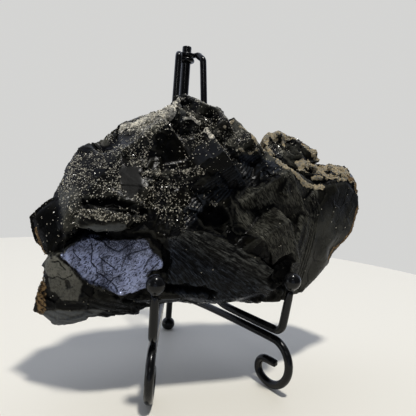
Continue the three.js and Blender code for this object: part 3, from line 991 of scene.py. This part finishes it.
def stone_finish(look):
    """Dark fluorite: glassy black, with frosted cleavage, druse, crust, painted light and shade in places,
    and one mirror facet whose lavender is partly painted reflection.
    """
    f = Finish(bpy.data.materials.new("fluorite"))
    mask = {name: f.mask(name) for name in MASKS}
    place = f.place()
    broad = f.noise(place, 9.0, 4)
    fine = f.noise(place, 0.9, 4, 0.6)
    speckle = f.noise(place, 0.35, 2)

    colour = f.tint(broad.between(0.4, 0.65), look.black, look.olive)
    grey = f.tint(mask["cool"], look.ash, look.steel)
    lines = f.noise(f.place((1, 0.2, 0.13), (0, 0.71, 0)), 0.42, 3, 0.6, 0.3).between(0.4, 0.6, 0.1, 1.7)
    fibres = f.noise(f.spread(place, FAN_HUB), 0.55, 3, 0.6, 0.4).between(0.4, 0.62, 0.1, 1.8)
    lined = 1 + mask["split"] * (lines - 1) + mask["fibre"] * (fibres - 1)
    # Frost greys the stone; at the toe and along the knob's rim this grey is painted light.
    colour = f.tint(mask["frost"] * lined * fine.between(0.25, 0.6, 0.55, 1.0), colour, grey)
    haze = mask["druse"].between(0.5, 0.9) * f.noise(place, 1.4, 3).between(0.45, 0.7)
    colour = f.tint(haze * 0.22, colour, DUSTY)
    # Painted shade darkens the hollows and carved lines; the smooth patch is darkened too.
    colour = f.tint(mask["ink"] * 0.9, colour, HOLLOW_SHADE)
    pitted = f.noise(place, 0.8, 4, 0.7).between(0.38, 0.55, 0.55, 1.0)
    colour = f.tint(mask["ash"] * pitted, colour, look.facet)

    dashes = f.noise(f.place((0.55, 1, 1.3), (0, 0.75, 0)), 0.6, 3, 0.6, 0.9).between(0.53, 0.58)
    webs = f.cells(f.shift(place, f.noise(place, 1.6, 4, 0.7), 3.0), 6.0, "DISTANCE_TO_EDGE")
    webs = 1 - webs.between(0.02, 0.05)
    swirls = f.noise(f.shift(place, f.noise(place, 1.2, 2), 1.0), 1.0, 2, 0.5, 1.6)
    swirls = swirls.between(0.47, 0.52) * (1 - swirls.between(0.52, 0.57)) * broad.between(0.45, 0.6)
    curls = f.noise(f.shift(place, f.noise(place, 0.9, 2), 1.2), 0.8, 2, 0.5, 2.0)
    curls = curls.between(0.42, 0.46) * (1 - curls.between(0.53, 0.57)) * f.along(2, place).between(51.5, 56)
    swirls = swirls.most(curls)
    dark = (dashes * 0.85).most(webs * broad.between(0.46, 0.54) * 0.8)
    dark = dark.most(mask["crack"] * 0.95).most(swirls)
    # Lavender on the mirror facet is partly painted reflection of the cool light in front; its metallic part
    # reflects the lights for real.
    lavender_reflection = f.tint(f.noise(place, 4.0, 3).between(0.35, 0.7), look.lavender_reflection, look.violet_reflection)
    facet = f.tint(dark, lavender_reflection, PITTED)
    colour = f.tint(mask["mirror"], colour, facet)
    colour = f.tint(mask["crack"] * (1 - mask["mirror"]), colour, CRACKED)

    patchy = f.noise(place, 1.3, 4, 0.6)
    cream = f.tint(f.along(0, place).between(*TAN_FROM_TO), look.cream, look.tan)
    cream = f.tint(patchy.between(0.27, 0.52), EARTHY, cream)
    ochre = f.tint(patchy.between(0.35, 0.65), RUSTY, look.ochre)
    crusted = (mask["crust"] + (patchy - 0.5) * 0.9).between(0.28, 0.5)
    rusted = (mask["rust"] + (patchy - 0.5) * 0.9).between(0.35, 0.6)
    colour = f.tint(crusted, colour, cream)
    colour = f.tint(rusted, colour, ochre)

    dull = (crusted.most(rusted) * 0.6).most(mask["frost"] * 0.35)
    dull = dull.most(mask["ash"] * 0.3).most(mask["ink"] * 0.45)
    roughness = (0.12 + fine * 0.1 + dull + haze * 0.1).least(0.95)
    roughness = roughness * (1 - mask["mirror"]) + mask["mirror"] * (0.3 + dark * 0.4)

    grain = f.bump(speckle * (0.03 + haze * 0.3 + crusted), 0.12)
    calm = mask["mirror"].most(mask["ash"]).most(mask["frost"]).least(1.0)
    normal = f.bump(fine * (1 - calm * 0.9), 0.07, grain)
    normal = f.bump(mask["split"] * lines + mask["fibre"] * fibres, 0.08, normal)
    normal = f.bump(dark * mask["mirror"] * -1.0, 0.12, normal)
    return f.shade({
        "Base Color": colour,
        "Roughness": roughness,
        "Metallic": mask["mirror"] * (1 - dark) * 0.5,
        "Normal": normal,
        "IOR": 1.434,
        "Specular IOR Level": 0.07,
    })


def grain_finish(name, dark, pale, gloss, size, right=None):
    """Small crystals or lumps, each a little different, and of another colour at the stone's right."""
    f = Finish(bpy.data.materials.new(name))
    place = f.place()
    each = f.cells(place, size, out="Color")
    shade = f.node("ShaderNodeSeparateColor", None, {0: each})
    pale = f.tint(f.along(0, place).between(*TAN_FROM_TO), pale, right or pale)
    colour = f.tint(shade.between(0.15, 0.85), dark, pale)
    fine = f.noise(place, 0.4, 2)
    return f.shade({"Base Color": colour, "Roughness": gloss + fine * 0.2, "Normal": f.bump(fine, 0.05)})


# ---- grains


CUBE = np.array(list(itertools.product((-1, 1), repeat=3)), float) / 2
CUBE_FACES = np.array([(0, 1, 3, 2), (4, 6, 7, 5), (0, 4, 5, 1), (2, 3, 7, 6), (0, 2, 6, 4), (1, 5, 7, 3)])


def random_turns(chance, count):
    """Rotation matrices that point every way alike."""
    q = chance.normal(size=(count, 4))
    w, x, y, z = (q / np.linalg.norm(q, axis=1, keepdims=True)).T
    rows = [
        [1 - 2 * (y * y + z * z), 2 * (x * y - z * w), 2 * (x * z + y * w)],
        [2 * (x * y + z * w), 1 - 2 * (x * x + z * z), 2 * (y * z - x * w)],
        [2 * (x * z - y * w), 2 * (y * z + x * w), 1 - 2 * (x * x + y * y)],
    ]
    return np.moveaxis(np.array(rows), 2, 0)


def lump_shape():
    """A rough ball of twenty faces: its points and its triangles."""
    bpy.ops.mesh.primitive_ico_sphere_add(subdivisions=1, radius=0.5)
    ball = bpy.context.object
    points = np.array([v.co for v in ball.data.vertices])
    faces = np.array([p.vertices for p in ball.data.polygons])
    bpy.data.objects.remove(ball)
    return points, faces


def scatter(name, host, weight, count, sizes, shape, chance, sink=0.1, stretch=(0.7, 1.3)):
    """Copies of one small shape on a host's surface, as one mesh, thickest where weight is greatest."""
    points, _ = read_surface(host)
    corners = np.empty(3 * len(host.data.polygons), np.int32)
    host.data.polygons.foreach_get("vertices", corners)
    corners = corners.reshape(-1, 3)
    sides = points[corners]
    facets = np.cross(sides[:, 1] - sides[:, 0], sides[:, 2] - sides[:, 0])
    extent = np.linalg.norm(facets, axis=1) / 2
    share = extent * weight[corners].mean(axis=1)
    picks = chance.choice(len(corners), count, p=share / share.sum())
    mix = chance.dirichlet((1, 1, 1), count)
    at = (sides[picks] * mix[:, :, None]).sum(axis=1)
    out = facets[picks] / np.maximum(np.linalg.norm(facets[picks], axis=1, keepdims=True), 1e-9)
    size = sizes[0] + (sizes[1] - sizes[0]) * chance.power(0.6, count)
    at -= out * (size * sink)[:, None]
    corner_points, faces = shape
    shaped = corner_points[None] * chance.uniform(*stretch, (count, 1, 3)) * size[:, None, None]
    placed = np.einsum("nij,nkj->nki", random_turns(chance, count), shaped) + at[:, None]
    numbered = faces[None] + (np.arange(count) * len(corner_points))[:, None, None]
    mesh = bpy.data.meshes.new(name)
    points = (placed.reshape(-1, 3) * MM).tolist()
    mesh.from_pydata(points, [], numbered.reshape(-1, faces.shape[1]).tolist())
    piece = bpy.data.objects.new(name, mesh)
    bpy.context.scene.collection.objects.link(piece)
    return piece


# ---- the easel


def coat_finish(look):
    """Gloss black coating with a faint orange peel, thin dust and a few rubbed spots."""
    f = Finish(bpy.data.materials.new("gloss_black"))
    place = f.place()
    dust = f.noise(place, 6.0, 5, 0.65).between(0.52, 0.75)
    peel = f.noise(place, 0.9, 2)
    rubbed = f.noise(place, 1.7, 4, 0.7).between(0.7, 0.8)
    colour = f.tint(dust * 0.25, look.coat, (0.05, 0.048, 0.045))
    colour = f.tint(rubbed * 0.4, colour, (0.04, 0.038, 0.036))
    return f.shade({
        "Base Color": colour,
        "Roughness": look.gloss + dust * 0.12 + rubbed * 0.15,
        "Normal": f.bump(peel, 0.02),
        "Specular IOR Level": 0.25,
    })


def round_wire(node):
    """A smooth round wire from a CAD wire with flat sides."""
    piece = cad_copy(node, node + "_coated")
    limits = {"face_threshold": math.radians(30), "shape_threshold": math.pi}
    edit(
        piece,
        (bpy.ops.mesh.tris_convert_to_quads, limits),
        (bpy.ops.transform.shrink_fatten, {"value": 0.1 * MM}),
    )
    modify(piece, "SUBSURF", levels=2, render_levels=2)
    edit(piece, (bpy.ops.mesh.faces_shade_smooth, {}))
    return piece


class SPECIMEN_OT_stone(bpy.types.Operator):
    """Grow, break and colour the fluorite"""

    bl_idname = "specimen.stone"
    bl_label = "Stone"

    def execute(self, context):
        sizes = context.scene.stone_sizes
        chance = np.random.default_rng(sizes.seed)
        stone = cad_copy("fluorite_specimen", "fluorite")
        blocks = growth_steps(chance)
        for centre, size, turns in FILLERS:
            blocks.append(add_block(Matrix.Translation(centre) @ turned(turns), size))
        for line, count, edge, stray in SMALL_CRYSTALS:
            blocks += small_crystals(chance, line, count, edge, stray)
        bpy.ops.object.select_all(action="DESELECT")
        for block in blocks:
            block.select_set(True)
        stone.select_set(True)
        context.view_layer.objects.active = stone
        bpy.ops.object.join()
        modify(stone, "REMESH", mode="VOXEL", voxel_size=sizes.cell)
        soften(stone)
        sculpt(stone, sizes.chip / MM)
        thin_out(stone, sizes.faces)
        refine_facets(stone)
        edit(stone, (bpy.ops.mesh.faces_shade_smooth, {}))
        choose(stone)
        bpy.ops.object.shade_smooth_by_angle(angle=math.radians(34))
        paint(stone)
        settle(stone, "post", "fluorite", stone_finish(context.scene.stone_colours), "fluorite_specimen")
        return {"FINISHED"}


class SPECIMEN_OT_druse(bpy.types.Operator):
    """Sprinkle sparkling grains over the stone"""

    bl_idname = "specimen.druse"
    bl_label = "Druse"

    def execute(self, context):
        sizes = context.scene.stone_sizes
        chance = np.random.default_rng(sizes.seed + 1)
        host = bpy.data.objects["fluorite"]
        survey = Survey(host)
        masks = survey.stone_masks()
        clumps = fade(rough(survey.points, 4.5, 81, 3), -0.35, 0.25)
        weight = masks["druse"] * (0.15 + clumps) + 0.002 * (1 - masks["mirror"]) * (1 - masks["ash"])
        weight *= 1 - 0.95 * masks["ink"]
        grain = sizes.grain / MM
        edges = (0.4 * grain, 1.3 * grain)
        piece = scatter("drusy_grains", host, weight, sizes.grains, edges, (CUBE, CUBE_FACES), chance)
        finish = grain_finish("drusy_grains", (0.06, 0.055, 0.04), (0.62, 0.58, 0.47), 0.1, 0.5)
        settle(piece, "post", "fluorite", finish)
        return {"FINISHED"}


class SPECIMEN_OT_crust(bpy.types.Operator):
    """Lay the pale and the rusty crust along the stone's edges"""

    bl_idname = "specimen.crust"
    bl_label = "Crust"

    def execute(self, context):
        sizes = context.scene.stone_sizes
        colours = context.scene.stone_colours
        chance = np.random.default_rng(sizes.seed + 2)
        host = bpy.data.objects["fluorite"]
        masks = Survey(host).stone_masks()
        lump = sizes.lump / MM
        shape = lump_shape()
        for name, mask, colour, count in (
            ("cream_crust", "crust", colours.cream, sizes.lumps),
            ("ochre_crust", "rust", colours.ochre, sizes.flakes),
        ):
            weight = np.clip(masks[mask] - 0.35, 0, 1)
            piece = scatter(name, host, weight, count, (0.45 * lump, 1.2 * lump), shape, chance, 0.15)
            dark = [0.25 * c for c in colour]
            end = colours.tan if mask == "crust" else colour
            settle(piece, "post", "fluorite", grain_finish(name, dark, list(colour), 0.75, 0.9, list(end)))
        return {"FINISHED"}


class SPECIMEN_OT_wires(bpy.types.Operator):
    """Round off and coat the bent wires of both gates"""

    bl_idname = "specimen.wires"
    bl_label = "Gate wires"

    def execute(self, context):
        finish = coat_finish(context.scene.stand_look)
        for side, kind in itertools.product(("left", "right"), ("leg_wire", "rest_wire")):
            node = f"{side}_{kind}"
            settle(round_wire(node), f"{side}_gate", "gloss_black", finish, node)
        return {"FINISHED"}


def ball_blank(node):
    """A round ball where a CAD ball is, and its middle in metres."""
    low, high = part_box(node)
    middle = Vector(((low.x + high.x) / 2, (low.y + high.y) / 2, high.z - BALL_R * MM))
    bpy.ops.mesh.primitive_uv_sphere_add(segments=48, ring_count=24, radius=BALL_R * MM, location=middle)
    ball = bpy.context.object
    ball.name = node + "_coated"
    apply_place(ball)
    return ball, middle


def round_rod(name, radius, low, high, sides=40):
    """An upright rod about the post's axis, between two heights in millimetres."""
    bpy.ops.mesh.primitive_cylinder_add(
        vertices=sides, radius=radius * MM, depth=(high - low) * MM, location=(0, 0, (low + high) / 2 * MM)
    )
    rod = bpy.context.object
    rod.name = name
    apply_place(rod)
    return rod


def smooth_round(piece):
    """Shades a piece smooth, with its rims kept sharp."""
    edit(piece, (bpy.ops.mesh.faces_shade_smooth, {}))
    choose(piece)
    bpy.ops.object.shade_smooth_by_angle(angle=math.radians(35))


class SPECIMEN_OT_balls(bpy.types.Operator):
    """Turn the prong balls, each with the bead of its weld, and the flattened rear foot"""

    bl_idname = "specimen.balls"
    bl_label = "Balls"

    def execute(self, context):
        finish = coat_finish(context.scene.stand_look)
        for side in ("left", "right"):
            ball, middle = ball_blank(f"{side}_prong_ball")
            down = Vector(PRONG_DOWN[side]).normalized()
            cut = middle + down * 2.75 * MM
            bead = down * 0.7 * MM
            flat = {"plane_co": cut, "plane_no": -down, "clear_inner": True, "use_fill": True}
            edit(
                ball,
                (bpy.ops.mesh.bisect, flat),
                (bpy.ops.mesh.extrude_region_move, {"TRANSFORM_OT_translate": {"value": bead}}),
                (bpy.ops.transform.resize, {"value": (0.82, 0.82, 0.82), "center_override": cut + bead}),
            )
            smooth_round(ball)
            settle(ball, f"{side}_gate", "gloss_black", finish, f"{side}_prong_ball")
        foot, _ = ball_blank("rear_foot_ball")
        flat = {"plane_co": (0, 0, 0), "plane_no": (0, 0, 1), "clear_inner": True, "use_fill": True}
        edit(foot, (bpy.ops.mesh.bisect, flat))
        smooth_round(foot)
        settle(foot, "post", "gloss_black", finish, "rear_foot_ball")
        return {"FINISHED"}


class SPECIMEN_OT_post(bpy.types.Operator):
    """Make the post's tube, open below and rounded on top, and the leg wire pushed into it"""

    bl_idname = "specimen.post"
    bl_label = "Post"

    def execute(self, context):
        finish = coat_finish(context.scene.stand_look)
        tube = round_rod("post_tube_coated", TUBE_R, TUBE_LOW, TUBE_HIGH)
        bore = {"TRANSFORM_OT_translate": {"value": (0, 0, (TUBE_HIGH - TUBE_LOW - 4) * MM)}}
        edit(
            tube,
            (bpy.ops.mesh.inset, {"thickness": (TUBE_R - TUBE_BORE_R) * MM}),
            (bpy.ops.mesh.extrude_region_move, bore),
            where=lambda face: face.normal.z < -0.9,
        )
        edit(
            tube,
            (bpy.ops.mesh.bevel, {"offset": 0.5 * MM, "segments": 4, "affect": "EDGES"}),
            where=lambda face: face.normal.z > 0.9 and face.center.z > (TUBE_HIGH - 1) * MM,
        )
        smooth_round(tube)
        settle(tube, "post", "gloss_black", finish, "post_tube")
        leg = round_rod("rear_leg_wire_coated", WIRE_R, LEG_LOW, LEG_HIGH)
        edit(
            leg,
            (bpy.ops.mesh.bevel, {"offset": 0.3 * MM, "segments": 3, "affect": "EDGES"}),
            where=lambda face: abs(face.normal.z) > 0.9,
        )
        smooth_round(leg)
        settle(leg, "post", "gloss_black", finish, "rear_leg_wire")
        return {"FINISHED"}


# ---- the stage


def soft_light(name, place, size, strength, tint):
    """A square lamp turned towards the lit spot."""
    light = bpy.data.lights.new(name, "AREA")
    light.size = size
    light.energy = strength
    light.color = tint
    lamp = bpy.data.objects.new(name, light)
    lamp.location = place
    lamp.rotation_euler = (Vector(LIT_SPOT) - Vector(place)).to_track_quat("-Z", "Y").to_euler()
    bpy.context.scene.collection.objects.link(lamp)


def camera_turn(heading, pitch, roll):
    """The camera's rotation: heading from +Y towards +X, pitch upwards and roll, in degrees."""
    a, e, r = (math.radians(angle) for angle in (heading, pitch, roll))
    ahead = Vector((math.sin(a) * math.cos(e), math.cos(a) * math.cos(e), math.sin(e)))
    right = Vector((math.cos(a), -math.sin(a), 0))
    up = right.cross(ahead)
    rolled_right = right * math.cos(r) + up * math.sin(r)
    rolled_up = up * math.cos(r) - right * math.sin(r)
    return Matrix((rolled_right, rolled_up, -ahead)).transposed().to_4x4()


class SPECIMEN_OT_stage(bpy.types.Operator):
    """Set the floor, the lights and the camera"""

    bl_idname = "specimen.stage"
    bl_label = "Stage"

    def execute(self, context):
        look = context.scene.stage_look
        bpy.ops.mesh.primitive_circle_add(vertices=128, radius=FLOOR_R, fill_type="NGON")
        floor = bpy.context.object
        floor.name = "floor"
        matt = Finish(bpy.data.materials.new("floor"))
        floor.data.materials.append(matt.shade({"Base Color": (*look.floor, 1), "Roughness": 0.55}))

        for name, (place, size, tint) in LIGHTS.items():
            soft_light(name, place, size, getattr(look, name), tint)

        # A pale wall behind and above, a dim room in front, and an even pale backdrop for the camera.
        world = bpy.data.worlds.new("studio")
        context.scene.world = world
        f = Finish(world)
        around = f.node("ShaderNodeTexCoord", out="Generated")
        behind = f.along(1, around).between(-0.25, 0.5)
        seen = f.node("ShaderNodeLightPath", out="Is Camera Ray")
        light = f.tint(behind, look.room, look.glow)
        f.fill(f.tree.nodes["Background"], {"Color": f.tint(seen, light, look.wall)})

        lens = bpy.data.cameras.new("camera")
        lens.lens = LENS
        lens.sensor_width = 36.0
        lens.clip_start = 0.005
        camera = bpy.data.objects.new("camera", lens)
        camera.matrix_world = Matrix.Translation(Vector(CAMERA_AT) * MM) @ camera_turn(*CAMERA_TURNS)
        context.scene.collection.objects.link(camera)
        context.scene.camera = camera
        context.scene.view_settings.view_transform = "Standard"
        return {"FINISHED"}


class SPECIMEN_PT_panel(bpy.types.Panel):
    """The steps of the build, in order"""

    bl_idname = "SPECIMEN_PT_panel"
    bl_label = "Fluorite on a wire easel"
    bl_space_type = "VIEW_3D"
    bl_region_type = "UI"
    bl_category = "Specimen"

    def draw(self, context):
        for step in STEPS:
            self.layout.operator(step.bl_idname)
        for group in SETTINGS:
            box = self.layout.box()
            settings = getattr(context.scene, group)
            for name in settings.bl_rna.properties.keys():
                if name not in ("name", "rna_type"):
                    box.prop(settings, name)


SETTINGS = {
    "stone_sizes": StoneSizes,
    "stone_colours": StoneColours,
    "stand_look": StandLook,
    "stage_look": StageLook,
}
STEPS = (
    SPECIMEN_OT_stage,
    SPECIMEN_OT_stone,
    SPECIMEN_OT_druse,
    SPECIMEN_OT_crust,
    SPECIMEN_OT_wires,
    SPECIMEN_OT_balls,
    SPECIMEN_OT_post,
)


def register():
    for kind in (*SETTINGS.values(), *STEPS, SPECIMEN_PT_panel):
        bpy.utils.register_class(kind)
    for name, kind in SETTINGS.items():
        setattr(bpy.types.Scene, name, PointerProperty(type=kind))


def unregister():
    for name in SETTINGS:
        delattr(bpy.types.Scene, name)
    for kind in reversed((*SETTINGS.values(), *STEPS, SPECIMEN_PT_panel)):
        bpy.utils.unregister_class(kind)


def main():
    register()
    for step in STEPS:
        family, name = step.bl_idname.split(".")
        getattr(getattr(bpy.ops, family), name)()


if __name__ == "__main__":
    main()
